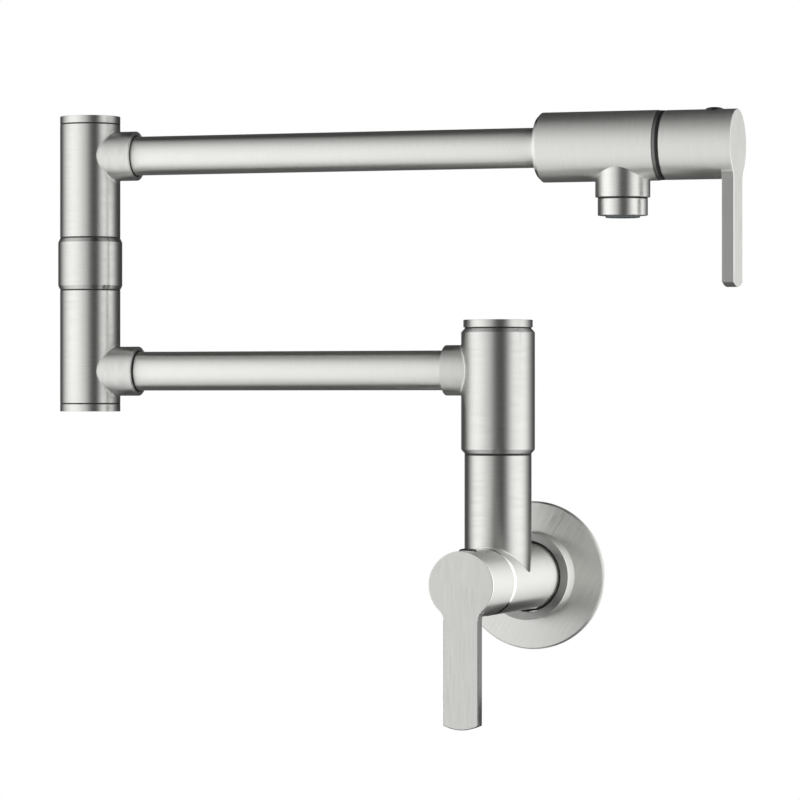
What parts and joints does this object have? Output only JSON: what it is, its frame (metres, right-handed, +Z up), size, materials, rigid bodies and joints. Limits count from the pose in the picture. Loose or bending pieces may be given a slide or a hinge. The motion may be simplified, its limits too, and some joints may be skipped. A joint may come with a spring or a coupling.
{
  "type": "wall mounted pot filler",
  "caption": "Wall mounted pot filler: two folding tubular arms, a lever valve at the wall and a lever valve beside the outlet, all in brushed steel.",
  "frame": {"origin": "middle of the water inlet in the wall plane, which is the back of the flange", "axes": "+Z up, -Y straight out of the wall towards the user, +X to the right of someone who faces the wall"},
  "size_m": [0.3962, 0.1543, 0.3379],
  "materials": {
    "brushed_steel": "satin, finely brushed",
    "shaded_steel": "satin, darker",
    "plain_steel": "plain machined",
    "turned_brass": "turned",
    "black_rubber": "matte",
    "black_plastic": "semi gloss",
    "white_acetal": "matte",
    "grey_plastic": "matte"
  },
  "bodies": {
    "wall_side": {"wall_flange": "brushed_steel", "flange_gasket": "black_rubber", "flange_seal": "black_rubber", "valve_body": "brushed_steel", "inlet_nipple": "turned_brass", "wall_cartridge": "white_acetal", "wall_bonnet_nut": "turned_brass", "riser_spindle": "turned_brass", "riser_thrust_washer": "black_rubber", "riser_seal_lower": "black_rubber", "riser_seal_upper": "black_rubber", "knuckle_retaining_washer": "plain_steel", "knuckle_retaining_screw": "plain_steel"},
    "wall_handle": {"wall_cartridge_stem": "turned_brass", "wall_lever": "brushed_steel", "wall_lever_set_screw": "plain_steel", "wall_lever_plug": "black_plastic"},
    "lower_arm": {"knuckle_sleeve": "brushed_steel", "knuckle_cap": "brushed_steel", "knuckle_cap_seal": "black_rubber", "lower_arm_tube": "brushed_steel", "lower_tube_washer_knuckle": "black_rubber", "lower_tube_washer_elbow": "black_rubber", "lower_elbow_hub": "brushed_steel", "lower_elbow_cap": "brushed_steel", "elbow_collar": "brushed_steel", "elbow_spindle": "turned_brass", "elbow_seal_lower": "black_rubber", "elbow_seal_middle": "black_rubber", "elbow_seal_upper": "black_rubber", "elbow_retaining_nut": "turned_brass"},
    "upper_arm": {"upper_elbow_hub": "brushed_steel", "upper_elbow_cap": "brushed_steel", "upper_arm_tube": "brushed_steel", "upper_tube_washer_elbow": "black_rubber", "upper_tube_washer_spout": "black_rubber", "spout_body": "brushed_steel", "spout_seam_ring": "shaded_steel", "spout_seam_washer": "black_rubber", "spout_cartridge": "white_acetal", "spout_bonnet_nut": "turned_brass", "aerator_shell": "brushed_steel", "aerator_insert": "grey_plastic", "aerator_washer": "black_rubber"},
    "spout_handle": {"spout_cartridge_stem": "turned_brass", "spout_lever": "brushed_steel", "spout_lever_set_screw": "plain_steel", "spout_lever_plug": "black_plastic"}
  },
  "joints": [
    {"name": "knuckle_swivel", "type": "hinge", "parent": "wall_side", "child": "lower_arm", "pos_m": [0, -0.07, 0.1156], "axis": [0, 0, 1], "range_deg": [0, 180]},
    {"name": "elbow_swivel", "type": "hinge", "parent": "lower_arm", "child": "upper_arm", "pos_m": [-0.2425, -0.07, 0.1766], "axis": [0, 0, -1], "range_deg": [-180, 180]},
    {"name": "wall_lever_turn", "type": "hinge", "parent": "wall_side", "child": "wall_handle", "pos_m": [0, -0.118, 0], "axis": [0, -1, 0], "range_deg": [0, 90]},
    {"name": "spout_lever_turn", "type": "hinge", "parent": "upper_arm", "child": "spout_handle", "pos_m": [0.115, -0.07, 0.2376], "axis": [-1, 0, 0], "range_deg": [0, 90]}
  ]
}
